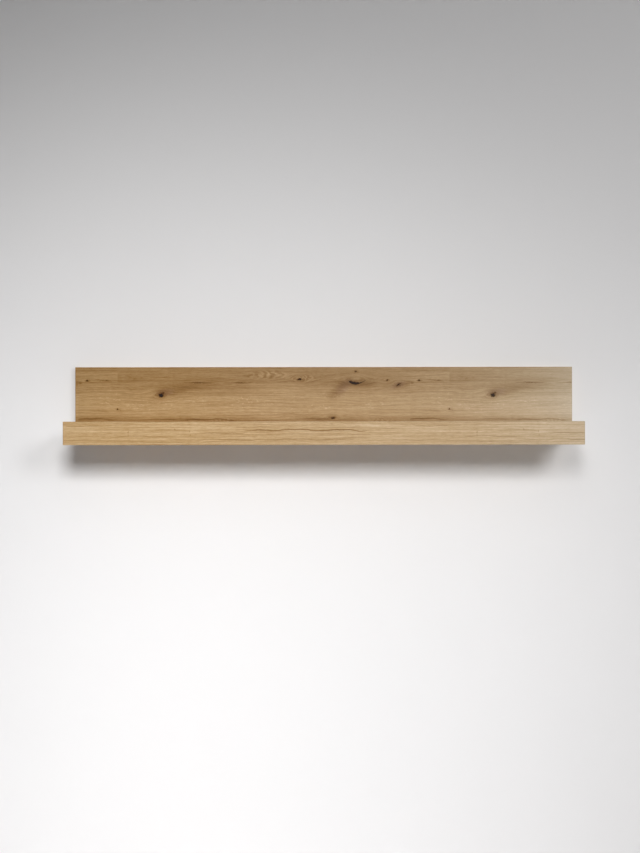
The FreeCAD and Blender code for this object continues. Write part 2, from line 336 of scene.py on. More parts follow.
# %% Light the room from all round
world = bpy.data.worlds.new("room")
world.use_nodes = True
bpy.context.scene.world = world
world.node_tree.nodes.clear()
room = Shading(world.node_tree)
ambient_level = 0.088
background_level = 0.75
rays = room.node("ShaderNodeLightPath").outputs
seen = room.maths("MAXIMUM", rays["Is Camera Ray"], rays["Is Glossy Ray"])
seen = room.maths("MAXIMUM", seen, rays["Is Transmission Ray"])
level = room.step(seen, 0.0, 1.0, ambient_level, background_level)
white = (1.0, 1.0, 1.0, 1.0)
background = room.node("ShaderNodeBackground", {"Color": white, "Strength": level})
room.feed(room.node("ShaderNodeOutputWorld").inputs["Surface"], background.outputs[0])
print("ambient level:", ambient_level)

# %% Hang the lamps
def soft_lamp(name, place, aim, size, power, spread):
    """A square lamp that looks from its place to its aim. Metres, watts and degrees."""
    data = bpy.data.lights.new(name, "AREA")
    data.size = size
    data.energy = power
    data.spread = math.radians(spread)
    lamp = add_object(name, data)
    turn = (Vector(aim) - Vector(place)).to_track_quat("-Z", "Y")
    lamp.matrix_world = Matrix.Translation(place) @ turn.to_matrix().to_4x4()
    print(name, round(power, 1), "watts from", place)
    return lamp


soft_lamp("front_lamp", (-0.12, -4.3, 1.35), (-0.72, 0.0, -1.12), 1.1, 15.2, 55.0)
soft_lamp("right_lamp", (2.08, -3.6, 1.15), (0.95, 0.0, -0.85), 1.1, 16.0, 88.0)
soft_lamp("ceiling_lamp", (0.1, -3.2, 2.2), (0.0, 0.0, -0.1), 1.8, 11.3, 180.0)
rear_lamp = soft_lamp("rear_lamp", (0.2, 3.6, 1.2), (0.0, 0.0, -0.1), 2.6, 52.0, 120.0)
# Its mirror image would turn the bare metal at the rear pure white
rear_lamp.visible_glossy = False

# %% [markdown]
# ## The oak decor
#
# The boards aren't solid oak. Chipboard is covered with a paper that a roller printed
# with an oak picture, so the picture comes back after one turn of the roller: the same
# round knot sits near the shelf's left end and again a metre further right. A pattern
# on a flat plane would need a seam where it starts again. Wrapping the plane round a
# roller first, as the printer does, gives a pattern that joins up with itself.
#
# One node group holds the whole sheet. It takes a place along and across the grain and
# gives a colour and a height. Each board is then cut from its own part of the sheet.

# %% Start the printed sheet and wrap it round its roller
roller_turn = 1.002
roller_radius = roller_turn / math.tau

oak_sheet = bpy.data.node_groups.new("oak_sheet", "ShaderNodeTree")
for name in ("Along", "Across", "Sheen"):
    oak_sheet.interface.new_socket(name, in_out="INPUT", socket_type="NodeSocketFloat")
oak_sheet.interface.new_socket("Colour", in_out="OUTPUT", socket_type="NodeSocketColor")
oak_sheet.interface.new_socket("Height", in_out="OUTPUT", socket_type="NodeSocketFloat")
sheet_inputs = oak_sheet.nodes.new("NodeGroupInput").outputs
along = sheet_inputs["Along"]
across = sheet_inputs["Across"]

sheet = Shading(oak_sheet)
angle = sheet.over(along, roller_radius)
roller_x = sheet.times(sheet.maths("COSINE", angle), roller_radius)
roller_y = sheet.times(sheet.maths("SINE", angle), roller_radius)
print_size("roller radius", roller_radius)

# %% [markdown]
# ## Noise that follows the grain
#
# Wood is long one way and fine the other. The same noise gives slow clouds, growth
# rings or hair-thin pores, depending on how far it is stretched along the grain.

# %% Helpers: noise on the roller, and a swing
grain_roughness = 0.6


def grain_noise(length, width, level=None, detail=1.0):
    """Noise whose features are about this long and wide, in metres."""
    place = sheet.node("ShaderNodeCombineXYZ", {
        0: sheet.over(roller_x, length),
        1: sheet.over(roller_y, length),
        2: sheet.over(across if level is None else level, width),
    })
    return sheet.noise(place.outputs[0], 1.0, detail, grain_roughness)[0]


def swing(value, amount):
    """Turns noise from 0..1 into a swing of this amount to either side of zero."""
    return sheet.times(sheet.minus(value, 0.5), 2.0, amount)


print("grain helpers ready")

# %% [markdown]
# ## Grain that flows round the knots
#
# A branch pushes the growth rings aside, as a pier pushes water. The flow round a
# round pier has a simple formula: a line at some distance from the pier's middle moves
# off by that distance times a share, and the share falls with the square of how far
# away the pier is. Each knot adds such a push to the place across the grain. All that
# is drawn with the pushed place then bends round the knot.

# %% Make the grain wavy
# The rail's plank grew straighter than the panel's
wave_height = sheet.step(across, -0.370, -0.200, 0.002, 0.0055)
slow_wave = swing(grain_noise(0.33, 0.09), wave_height)
quick_wave = swing(grain_noise(0.07, 0.03), 0.0014)
wavy_across = sheet.plus(across, sheet.plus(slow_wave, quick_wave))
print("grain wavy")

# %% Bend the grain round the knots
# Along, across, radius and stretch of each pier, in millimetres
piers = [
    (-491, -40, 12, 2.2),
    (-714.6, 4.2, 5, 3),
    (-623, -82, 4, 3),
    (-378, -1.3, 6, 4),
    (-250, -1.3, 5, 4),
    (-165, 21, 12, 5),
    (-72.5, 8, 9, 2.6),
    (98, 2, 15, 2.6),
    (192, 5, 6, 2.4),
    (227, -8, 9, 2),
    (28, -109, 8, 3),
]


# Keeps the push small at a pier's very middle, where the formula has no end
pier_calm = 0.35


def pier_push(middle_along, middle_across, radius, stretch):
    """How far a knot moves the grain at this place."""
    aside = sheet.minus(along, middle_along * millimetre)
    aside = sheet.maths("WRAP", aside, roller_turn / 2, -roller_turn / 2)
    aside = sheet.over(aside, stretch)
    above = sheet.minus(wavy_across, middle_across * millimetre)
    squared = sheet.plus(sheet.times(aside, aside), sheet.times(above, above))
    reach = (radius * millimetre) ** 2
    share = sheet.over(reach, sheet.plus(squared, pier_calm * reach))
    return sheet.times(above, share)


grain = wavy_across
for pier in piers:
    grain = sheet.minus(grain, pier_push(*pier))
print("knots that bend the grain:", len(piers))

# %% [markdown]
# ## The tone across the plank
#
# The picture on the sheet is one wide plank with a dark heart near its top, a pale face
# below and a red-brown streak along its foot, and then quieter planks. The tone is kept
# as one number, about the share of red light that comes back. Colour comes at the end,
# so that a mark has one number to change instead of three.

# %% Lay down the tone
# Place across the sheet in millimetres, and the tone there
tone_stops = [
    # On the rail's plank, from -460 to -371, the tone rises at both edges: a paler row along the rail's
    # foot, and a painted highlight along its top edge.
    (-460, 0.545), (-434, 0.540), (-426, 0.515), (-378, 0.523), (-371, 0.545),
    (-300, 0.46), (-160, 0.44), (-118, 0.31), (-110, 0.35), (-98, 0.450),
    (-78, 0.495), (-45, 0.450), (-24, 0.395), (-12, 0.360), (-2, 0.335),
    (12, 0.360), (45, 0.368),
]
sheet_foot = tone_stops[0][0] * millimetre
sheet_height = tone_stops[-1][0] * millimetre - sheet_foot
stops = []
for place, level in tone_stops:
    stops.append(((place * millimetre - sheet_foot) / sheet_height, (level, level, level)))
share_of_height = sheet.over(sheet.minus(wavy_across, sheet_foot), sheet_height)
tone = sheet.channels(sheet.ramp(share_of_height, stops))[0]
print("tone stops:", len(tone_stops))

# %% [markdown]
# ## Streaks, rings, pores and flecks
#
# Streaks of five widths make the plank look grown instead of sprayed. A growth ring
# darkens slowly and starts again at once, as summer wood does. Pores are short dark
# dashes. Flecks are the pale rays that show on a face cut close to the heart.

# %% Draw the streaks
# Length and width in metres, and how far the tone swings
streaks = [
    (0.50, 0.026, 0.12),
    (0.40, 0.0060, 0.16),
    (0.22, 0.0030, 0.205),
    (0.05, 0.0022, 0.17),
    (0.018, 0.0016, 0.24),
]
for length, width, amount in streaks:
    streak = swing(grain_noise(length, width, grain, 2.0), amount)
    tone = sheet.times(tone, sheet.plus(streak, 1.0))
print("streaks:", len(streaks))

# %% Draw the growth rings and the pores
ring_width = 0.0085
ring_drift = sheet.times(grain_noise(0.35, 0.05), 5.0)
ring_count = sheet.plus(sheet.over(grain, ring_width), ring_drift)
ring = sheet.maths("POWER", sheet.maths("FRACT", ring_count), 4.0)
ring_strength = sheet.step(grain_noise(0.10, 0.012), 0.40, 0.70, 0.02, 0.24)
tone = sheet.times(tone, sheet.minus(1.04, sheet.times(ring, ring_strength)))

pores = sheet.step(grain_noise(0.014, 0.0005, grain), 0.56, 0.68)
tone = sheet.times(tone, sheet.minus(1.03, sheet.times(pores, 0.20)))

# The rail's plank has long straight lines, the others have fewer
long_line = sheet.step(grain_noise(0.40, 0.0017, grain), 0.56, 0.70)
line_strength = sheet.step(across, -0.340, -0.370, 0.07, 0.17)
tone = sheet.times(tone, sheet.minus(1.0, sheet.times(long_line, line_strength)))
print_size("ring width", ring_width)

# %% Scatter pale flecks over the clear face
fleck = sheet.step(grain_noise(0.009, 0.0065, grain), 0.58, 0.70)
cluster = sheet.step(grain_noise(0.10, 0.045), 0.44, 0.60)
above_foot = sheet.step(across, -0.092, -0.075)
below_heart = sheet.step(across, -0.022, -0.045)
fleck = sheet.times(fleck, cluster, above_foot, below_heart)
tone = sheet.times(tone, sheet.plus(sheet.times(fleck, 0.22), 1.0))
print("flecks drawn")

# %% [markdown]
# ## Knots, cracks and stains
#
# Each mark is a soft ellipse that multiplies the tone. It has a place on the sheet, a
# half length, a half height and a lean. A small knot is two of them, a wide brown halo
# and a nearly black core, and the main knot is ten. Noise makes their outlines ragged.

# %% Helpers: one soft mark, and many
window_start = -0.741
turn_along = sheet.maths("WRAP", along, window_start + roller_turn, window_start)
turn_place = sheet.node("ShaderNodeCombineXYZ", {0: turn_along, 1: across}).outputs[0]
rag = sheet.channels(sheet.noise(turn_place, 190.0)["Color"])
ragged_along = sheet.plus(turn_along, swing(rag[0], 0.004))
ragged_across = sheet.plus(across, swing(rag[1], 0.003))


def ellipse(middle, half_sizes, lean=0.0):
    """0 in the middle of an ellipse and 1 on its outline. Millimetres and degrees."""
    aside = sheet.minus(ragged_along, middle[0] * millimetre)
    above = sheet.minus(ragged_across, middle[1] * millimetre)
    if lean:
        turn = math.radians(lean)
        leaning = sheet.maths("MULTIPLY_ADD", above, math.sin(turn), sheet.times(aside, math.cos(turn)))
        above = sheet.maths("MULTIPLY_ADD", aside, -math.sin(turn), sheet.times(above, math.cos(turn)))
        aside = leaning
    wide = sheet.over(aside, half_sizes[0] * millimetre)
    high = sheet.over(above, half_sizes[1] * millimetre)
    return sheet.maths("SQRT", sheet.maths("MULTIPLY_ADD", wide, wide, sheet.times(high, high)))


def mark(tone, middle, half_sizes, factor, lean=0.0, firm=0.0):
    """Multiplies the tone inside an ellipse. A firm edge is near 1, a soft one near 0."""
    return sheet.times(tone, sheet.step(ellipse(middle, half_sizes, lean), firm, 1.0, factor, 1.0))


def draw(tone, marks):
    """Draws marks in turn. A row is a middle, half sizes, a factor, a lean and a firmness."""
    for row in marks:
        tone = mark(tone, *row)
    return tone


print("marks ready")

# %% Draw the main round knot and its smoke
main_knot = [
    ((-410, -18), (135, 30), 0.75, 8),
    ((-452, -31), (60, 15), 0.88, 14),
    ((-486, -36), (26, 17), 0.74),
    ((-440, -27), (58, 9), 0.90, 10),
    ((-478, -8), (75, 15), 0.95),
    ((-497, -42), (32, 20), 0.78),
    ((-484, -25), (44, 11), 0.74),
    ((-490, -39), (15, 12), 0.42),
    ((-484, -33), (5, 4), 0.40, 30, 0.2),
    ((-491, -40.5), (8.6, 8.2), 0.04, 0, 0.45),
]
tone = draw(tone, main_knot)
print("marks of the main knot:", len(main_knot))

# %% Draw the small round knots
# Along, across and radius in millimetres
small_knots = [
    (-714.6, 4.2, 2.9),
    (-623, -82, 2.4),
    (-72.5, 8, 3.6),
    (97, 31, 2.8),
    (192, 5, 2.5),
]
for knot_along, knot_across, radius in small_knots:
    tone = mark(tone, (knot_along + 2, knot_across), (4.5 * radius, 2.4 * radius), 0.76)
    tone = mark(tone, (knot_along, knot_across), (1.7 * radius, 1.3 * radius), 0.18, firm=0.3)
tone = mark(tone, (-74, 7.6), (12, 3.8), 0.30, firm=0.2)
print("small knots:", len(small_knots))

# %% [markdown]
# ## A crack that curves like a smile
#
# One knot has split, and its crack is a curve with a thick left end and a thin right
# one. A curve is drawn by its distance: how far a point lies above or below it, over
# how thick it is there. Wide stains go under it first.

# %% Stain the wood round the crack
crack_stains = [
    ((97, 17), (34, 13), 1.14),
    ((112, -4), (75, 24), 0.73),
    ((62, -8), (36, 18), 0.80, 20),
    ((38, -29), (51, 29), 0.75, 46),
    ((125, -8), (70, 15), 0.86),
]
tone = draw(tone, crack_stains)
print("stains:", len(crack_stains))

# %% Draw the crack
smile_middle = 0.099
smile_bend = 12.0
smile_drop = 0.0045
smile_thickness = 0.0062
smile_aside = sheet.minus(ragged_along, smile_middle)
smile_curve = sheet.minus(sheet.times(smile_aside, smile_aside, smile_bend), smile_drop)
smile_away = sheet.maths("ABSOLUTE", sheet.minus(ragged_across, smile_curve))
left_end = sheet.step(smile_aside, -0.027, -0.014)
right_taper = sheet.step(smile_aside, 0.034, -0.012, 0.0, smile_thickness)
smile_reach = sheet.maths("MAXIMUM", sheet.times(left_end, right_taper), 0.00005)
smile = sheet.step(sheet.over(smile_away, smile_reach), 0.4, 1.1, 0.04, 1.0)
tone = sheet.times(tone, smile)
print_size("crack thickness", smile_thickness)

# %% Draw the slanting knot and the bottom knot
two_knots = [
    ((222, -12), (62, 18), 0.80),
    ((252, -5), (30, 9), 0.78, 12),
    ((226, -9), (24, 13), 0.60, 25),
    ((226, -8.5), (11.5, 3.1), 0.08, 35, 0.3),
    ((28, -107), (30, 14), 0.70),
    ((28, -109), (9, 5.5), 0.16, 0, 0.2),
]
tone = draw(tone, two_knots)
print("marks of the slanting and bottom knots:", len(two_knots))

# %% Draw the eyes, where a twig was cut off
eyes = [(-378, -1.3), (-250, -1.3), (-659, 4.2)]
for eye_along, eye_across in eyes:
    tone = mark(tone, (eye_along, eye_across), (26, 3.6), 0.78)
    tone = mark(tone, (eye_along + 4, eye_across), (3.6, 2.4), 0.55)
print("eyes:", len(eyes))

# %% Lay pale and dark patches over the plank
patches = [
    ((-110, -26), (185, 26), 1.20),
    ((-130, -108), (120, 16), 1.22, -4),
    ((128, -110), (60, 12), 1.13),
    ((-150, -8), (130, 12), 1.10),
    ((-680, -10), (95, 10), 1.12),
    ((-722, -113), (60, 12), 0.90),
    ((-410, -111), (110, 12), 0.84),
    ((-500, -62), (75, 22), 0.97),
    ((-20, 25), (190, 20), 0.93),
    ((-650, -70), (160, 70), 0.94),
    ((-735, -3), (7, 4.5), 0.60),
]
tone = draw(tone, patches)
print("patches:", len(patches))

# %% [markdown]
# ## Flames and hairlines
#
# Where the saw cut across the rings, they show as nested arches, which furniture makers
# call flames. A sine of the place along the grain draws them, bent to a hyperbola: round
# at its tip and straight along its legs. Hairlines are fine dark checks that run with
# the grain and wander a little.

# %% Draw the flames
arch_wobble = swing(grain_noise(0.03, 0.012), 0.018)
tip_radius = 2.5 * millimetre


def flames(tone, middle, half_sizes, spacing, slope, amount):
    """Arches that point along the grain, inside a soft ellipse, in millimetres."""
    aside = sheet.plus(arch_wobble, sheet.minus(ragged_along, middle[0] * millimetre))
    above = sheet.minus(ragged_across, middle[1] * millimetre)
    bow = sheet.maths("SQRT", sheet.maths("MULTIPLY_ADD", above, above, tip_radius ** 2))
    arch = sheet.maths("MULTIPLY_ADD", bow, slope, aside)
    wave = sheet.maths("SINE", sheet.over(arch, spacing * millimetre / math.tau))
    strength = sheet.step(ellipse(middle, half_sizes), 1.0, 0.3, 0.0, amount)
    return sheet.times(tone, sheet.maths("MULTIPLY_ADD", wave, strength, 1.0))


tone = flames(tone, (-163, 22), (80, 18), 24, 1.6, 0.19)
tone = flames(tone, (-48, 12), (34, 15), 13, 1.5, 0.17)
tone = flames(tone, (-300, -118), (50, 12), 13, 1.3, 0.12)
tone = flames(tone, (178, -118), (60, 14), 15, 1.3, 0.10)
print("flames drawn")

# %% Helper: a hairline along the grain
wander = swing(grain_noise(0.06, 0.5), 0.006)
slightly_ragged = sheet.plus(across, swing(rag[1], 0.0012))
unwandered = sheet.minus(slightly_ragged, wander)
line_fade = 25.0 * millimetre


def hairline(tone, start, end, line_across, half_height, depth):
    """A thin dark line with soft ends. Places in millimetres."""
    first = start * millimetre
    last = end * millimetre
    away = sheet.maths("ABSOLUTE", sheet.minus(unwandered, line_across * millimetre))
    begun = sheet.step(turn_along, first - line_fade, first + line_fade)
    not_over = sheet.step(turn_along, last + line_fade, last - line_fade)
    thin = sheet.step(away, half_height * millimetre, 0.25 * half_height * millimetre)
    return sheet.times(tone, sheet.minus(1.0, sheet.times(thin, sheet.times(begun, not_over), depth)))


print("hairlines ready")

# %% Draw the hairlines
# Start, end, place across, half height and depth
hairlines = [
    (-215, 118, -395.5, 2.2, 0.50),
    (-340, -235, -404.5, 1.8, 0.36),
    (-250, -150, -387, 1.6, 0.22),
    (-600, -440, -414.5, 1.6, 0.26),
    (-441, 80, -422.5, 1.6, 0.20),
    (-560, -300, -431, 1.8, 0.18),
    (-741, -640, -383.5, 1.8, 0.24),
    (-300, -200, -424, 1.8, 0.24),
    (-741, -630, -111.5, 3.4, 0.36),
    (-520, -440, -113, 2.6, 0.30),
    (-420, -265, -113.5, 3, 0.36),
    (-60, 20, -112, 3.2, 0.30),
    (-412, -338, -1.3, 2, 0.42),
    (-282, -222, -1.3, 2, 0.42),
    (-700, -630, 4.2, 1.8, 0.26),
]
for line in hairlines:
    tone = hairline(tone, *line)
print("hairlines:", len(hairlines))

# %% Draw the small marks of the rail's plank
rail_spots = [(-562, -401), (-562, -409), (-428, -393), (-386, -399), (-384, -409)]
for spot in rail_spots:
    tone = mark(tone, spot, (3, 5), 0.72)
tone = mark(tone, (-110, -395), (280, 60), 0.93)
tone = mark(tone, (-378, -398), (26, 12), 1.12)
tone = mark(tone, (-392, -411), (40, 10), 0.92)
print("spots on the rail's plank:", len(rail_spots))

# %% Lighten one stave near the panel's top
# The picture on the sheet has an upright joint there, and is paler to the left of it
stave_joint = -0.622
stave_gain = 0.15
from_joint = sheet.minus(along, stave_joint)
from_joint = sheet.maths("WRAP", from_joint, roller_turn / 2, -roller_turn / 2)
left_of_joint = sheet.step(from_joint, millimetre, -millimetre)
near_joint = sheet.step(from_joint, -0.24, -0.03)
under_top = sheet.step(across, 0.031, 0.025)
above_foot = sheet.step(across, -0.004, 0.003)
stave = sheet.times(left_of_joint, near_joint, under_top, above_foot, stave_gain)
tone = sheet.times(tone, sheet.plus(stave, 1.0))
print("stave joint at", rounded((stave_joint, stave_joint + roller_turn)))

# %% [markdown]
# ## From tone to colour
#
# Oak doesn't only get darker, it gets redder too: green and blue fall off faster than
# red. One colour ramp holds that rule for the whole sheet, from black cracks to pale
# sapwood.

# %% Colour the tone
oak_colour = sheet.ramp(tone, [
    (0.00, (0.012, 0.006, 0.003)),
    (0.12, (0.120, 0.045, 0.006)),
    (0.20, (0.200, 0.094, 0.022)),
    (0.31, (0.310, 0.170, 0.055)),
    (0.40, (0.400, 0.242, 0.098)),
    (0.49, (0.490, 0.314, 0.140)),
    (0.60, (0.600, 0.415, 0.225)),
    (0.80, (0.800, 0.640, 0.420)),
])
print("oak coloured")

# %% Stain the wood round the large knots
# The water that a branch let in turned the oak a dull violet there
water_stains = [
    ((-478, -31), (42, 17), 10),
    ((62, -14), (46, 22), 40),
    ((226, -9), (34, 15), 20),
]
stain_share = 0.0
for stain in water_stains:
    stain_share = sheet.maths("MAXIMUM", stain_share, sheet.step(ellipse(*stain), 1.0, 0.2))
violet = (0.93, 0.92, 1.12, 1.0)
oak_colour = sheet.node("ShaderNodeMix", {
    "Factor": stain_share, 6: oak_colour, 7: violet,
}, data_type="RGBA", blend_type="MULTIPLY").outputs[2]
print("water stains:", len(water_stains))

# %% [markdown]
# Toward its right end the oak is painted paler and greyer, as a painted sheen of the light
# from the right, and the knots stay black. A gamma below one does just that, because it
# lifts the darker channels most and leaves black and white alone.

# %% Paint the sheen of the light from the right into the colour
# The share of painted sheen, from none at the shelf's left end to the most at its right end
sheen_share = sheet_inputs["Sheen"]
sheen_gamma = sheet.minus(1.0, sheet.times(sheet.maths("POWER", sheen_share, 4.2), 0.45))
lifted = sheet.node("ShaderNodeGamma", {"Color": oak_colour, "Gamma": sheen_gamma}).outputs[0]
early_grey = sheet.step(sheen_share, 0.15, 0.45, 0.0, 0.05)
late_grey = sheet.times(sheet.maths("POWER", sheen_share, 3.0), 0.14)
saturation = sheet.minus(1.0, sheet.plus(early_grey, late_grey))
painted_sheen = sheet.node("ShaderNodeHueSaturation", {"Saturation": saturation, "Color": lifted})

sheet_outputs = oak_sheet.nodes.new("NodeGroupOutput").inputs
sheet.feed(sheet_outputs["Colour"], painted_sheen.outputs[0])
sheet.feed(sheet_outputs["Height"], sheet.minus(streak, pores))
print("nodes in the oak sheet:", len(oak_sheet.nodes))

# %% [markdown]
# ## Raw chipboard
#
# A bore or a pocket shows what is under the paper: pressed wood chips. They are flat
# flakes of many tones, so a cell pattern gives each chip a tone of its own, and a
# finer noise adds the dust between them.

# %% Helper: the colour and height of raw chipboard
def chipboard(graph, place):
    chips = graph.node("ShaderNodeTexVoronoi", {"Vector": place, "Scale": 420.0})
    chip_tone = graph.channels(chips.outputs["Color"])[0]
    dust = graph.noise(place, 2600.0)[0]
    tone = graph.plus(graph.times(chip_tone, 0.6), graph.times(dust, 0.4))
    colour = graph.ramp(tone, [(0.0, (0.20, 0.12, 0.06)), (1.0, (0.62, 0.46, 0.28))])
    return colour, graph.times(tone, 4.0)


print("chipboard ready")

# %% [markdown]
# ## The satin coat
#
# The paper is soaked in melamine resin and pressed on hot, against a steel plate with
# fine grain in it. So the surface is hard and satin, it is a little duller in the pores
# and its relief is only a few hundredths of a millimetre.

# %% Helper: the satin coat
print_relief = 0.04 * millimetre
sheet_roughness = 0.42
band_roughness = 0.64


def satin(graph, surface, colour, height, smoothest):
    """A coat over a colour, with the grain pressed into it and duller pores."""
    graph.coat(surface, {
        "Base Color": colour, "Specular IOR Level": 0.12,
        "Roughness": graph.step(height, -1.0, 0.2, smoothest + 0.14, smoothest, "LINEAR"),
        "Normal": graph.bump(0.6, print_relief, height),
    })


print_size("print relief", print_relief)

# %% Helper: the decor at a place on the sheet
def oak_print(graph, along, across, x, most_sheen):
    """The decor's colour and height, with a painted sheen that grows from left to right."""
    # The painted sheen of the light from the right grows along the shelf
    sheen = graph.step(x, cad_low.x, cad_high.x, 0.0, most_sheen, "LINEAR")
    inputs = {"Along": along, "Across": across, "Sheen": sheen}
    group = graph.node("ShaderNodeGroup", inputs, node_tree=oak_sheet)
    return group.outputs["Colour"], group.outputs["Height"]


print("decor ready")

# %% [markdown]
# ## Coated boards
#
# A board has decor on its two faces and shows chipboard wherever it was bored or cut.
# Which one a point shows is decided by how deep it lies in the board's thickness. The
# rear face is another cut of the same sheet, so it gets a shift of its own. Round the
# outline runs a hair-thin dark joint, where the sheet ends and the glue of the edge
# band begins.

# %% Helper: the joint between a sheet and its edge bands
glue_joint = 0.2 * millimetre
glue_brown = (0.10, 0.055, 0.025, 1.0)


def joint_share(graph, parts, box, across_axis):
    """0 on the board and 0.6 at its outline."""
    share = 0.0
    for axis in (X, across_axis):
        from_low = graph.minus(parts[axis], box[0][axis])
        from_high = graph.minus(box[1][axis], parts[axis])
        nearest = graph.maths("MINIMUM", from_low, from_high)
        share = graph.maths("MAXIMUM", share, graph.step(nearest, 2 * glue_joint, glue_joint, 0.0, 0.6))
    return share


print_size("glue joint", glue_joint)

# %% Helper: a coated board, cut from the sheet
paper_thickness = 0.05 * millimetre


def coated_board(name, box, across_axis, depth_axis, across_shift, back_shift, most_sheen=1.0):
    """Decor on the two faces across the depth axis, and chipboard between them."""
    material, graph, surface = new_material(name)
    place = graph.place()
    parts = graph.axes(place)
    middle = (box[0][depth_axis] + box[1][depth_axis]) / 2
    reach = (box[1][depth_axis] - box[0][depth_axis]) / 2 - paper_thickness
    depth = graph.minus(parts[depth_axis], middle)
    back = graph.maths("GREATER_THAN", depth, 0.0)
    along = graph.plus(parts["X"], graph.times(back, back_shift[0]))
    shift = graph.plus(graph.times(back, back_shift[1]), across_shift)
    across = graph.plus(parts[across_axis], shift)
    colour, height = oak_print(graph, along, across, parts["X"], most_sheen)
    colour = graph.blend(joint_share(graph, parts, box, across_axis), colour, glue_brown)
    raw, raw_height = chipboard(graph, place)
    inside = graph.maths("LESS_THAN", graph.maths("ABSOLUTE", depth), reach)
    shown_height = graph.node("ShaderNodeMix", {"Factor": inside, 2: height, 3: raw_height}).outputs[0]
    satin(graph, surface, graph.blend(inside, colour, raw), shown_height, sheet_roughness)
    print("coated board:", name)
    return material


print_size("paper thickness", paper_thickness)

# %% Coat the three boards
panel_oak = coated_board("panel_oak", panel_box, Z, Y, 0.0, (0.31, -0.17))
board_oak = coated_board("board_oak", board_box, Y, Z, -0.155, (0.47, 0.0))
# The rail gets a little less of the painted sheen
rail_oak = coated_board("rail_oak", rail_box, Z, Y, -0.25, (0.23, 0.0), most_sheen=0.88)

# %% [markdown]
# ## Edge bands
#
# The cut edges are closed with thin strips of the same print, glued on hot and trimmed.
# A strip's grain runs along its edge: level on the long edges, upright on the ends of
# the panel and the rail, and from front to rear on the ends of the board. The strips are
# soft plastic, which is duller than the pressed sheet.

# %% Helper: an edge band
def edge_band(name, along_axis, along_shift, across_axis, across_shift):
    material, graph, surface = new_material(name)
    parts = graph.axes(graph.place())
    along = graph.plus(parts[along_axis], along_shift)
    across = graph.plus(parts[across_axis], across_shift)
    colour, height = oak_print(graph, along, across, parts["X"], 1.0)
    satin(graph, surface, colour, height, band_roughness)
    print("edge band:", name)
    return material


long_band = edge_band("long_band_oak", X, 0.37, Y, -0.20)
upright_band = edge_band("upright_band_oak", Z, 0.11, Y, -0.20)
board_band = edge_band("board_band_oak", Y, 0.11, Z, -0.07)

# %% Put the oak on the boards and bands
def dress(material, *node_names):
    """Puts one material on some of the CAD pieces."""
    for node_name in node_names:
        mesh = nodes[node_name].data
        mesh.materials.clear()
        mesh.materials.append(material)


dress(panel_oak, "back_panel")
dress(board_oak, "shelf_board")
dress(rail_oak, "front_rail")
for owner in ("panel", "rail"):
    dress(long_band, f"{owner}_top_band", f"{owner}_bottom_band")
    dress(upright_band, f"{owner}_left_band", f"{owner}_right_band")
dress(board_band, "board_left_band", "board_right_band")
print("boards and bands dressed")

# %% [markdown]
# ## Metal
#
# The hanger plates, screws and bolts are zinc-plated steel: pale grey, slightly blue,
# with the cloudy crystals that zinc grows and fine marks from the press. The cams are
# cast, so they are duller and grainy.

# %% Helper: a metal whose tone changes from crystal to crystal
def metal(name, dark, pale, crystal_size, roughness, relief):
    material, graph, surface = new_material(name)
    place = graph.place()
    crystals = graph.node("ShaderNodeTexVoronoi", {"Vector": place, "Scale": 1 / crystal_size})
    crystal = graph.channels(crystals.outputs["Color"])[0]
    grit = graph.noise(place, 5 / crystal_size, 3.0)[0]
    tone = graph.plus(graph.times(crystal, 0.55), graph.times(grit, 0.45))
    gloss = graph.minus(roughness + 0.10, graph.times(tone, 0.18))
    graph.coat(surface, {
        "Base Color": graph.blend(tone, (*dark, 1.0), (*pale, 1.0)), "Metallic": 1.0,
        "Roughness": gloss, "Normal": graph.bump(0.5, relief, grit),
    })
    print("metal:", name)
    return material


print("metal helper ready")

# %% Put metal on the fittings
zinc_steel = metal("zinc_steel", (0.50, 0.52, 0.55), (0.74, 0.76, 0.79), 0.004, 0.34, 0.02 * millimetre)
cast_zinc = metal("cast_zinc", (0.38, 0.39, 0.41), (0.58, 0.59, 0.61), 0.0012, 0.46, 0.04 * millimetre)
dress(zinc_steel, "left_hanger_plate", "right_hanger_plate", "cam_bolts")
dress(cast_zinc, "cams")

# %% [markdown]
# ## Caps
#
# The cam covers are moulded plastic in a tone that suits the oak. A moulding tool is
# etched, so the plastic has a faint leathery grain, made here with soft cells.

# %% Mix the plastic
cap_plastic, graph, surface = new_material("cap_plastic")
place = graph.place()
cells = graph.node("ShaderNodeTexVoronoi", {"Vector": place, "Scale": 2400.0}, feature="SMOOTH_F1")
cloud = graph.noise(place, 90.0, 3.0)[0]
graph.coat(surface, {
    "Base Color": graph.blend(cloud, (0.40, 0.26, 0.13, 1.0), (0.48, 0.32, 0.17, 1.0)),
    "Roughness": graph.plus(graph.times(cloud, 0.12), 0.40),
    "Normal": graph.bump(0.4, 0.03 * millimetre, cells.outputs["Distance"]),
})
dress(cap_plastic, "cam_caps")
print("plastic ready")

# %% [markdown]
# ## Dowels
#
# The dowels are turned from pale beech, whose short dark pores lie along the dowel, from
# front to rear. Noise that is stretched along Y draws them.

# %% Mix the beech
beech, graph, surface = new_material("beech")
place = graph.place()
stretch = (1500.0, 90.0, 1500.0)
stretched = graph.node("ShaderNodeVectorMath", {0: place, 1: stretch}, operation="MULTIPLY").outputs[0]
fibre = graph.noise(stretched, 1.0, 3.0)[0]
graph.coat(surface, {
    "Base Color": graph.ramp(fibre, [(0.30, (0.40, 0.24, 0.13)), (0.60, (0.66, 0.46, 0.29))]),
    "Roughness": graph.minus(0.75, graph.times(fibre, 0.2)),
    "Normal": graph.bump(0.5, 0.05 * millimetre, fibre),
})
dress(beech, "panel_dowels", "rail_dowels")
print("beech ready")

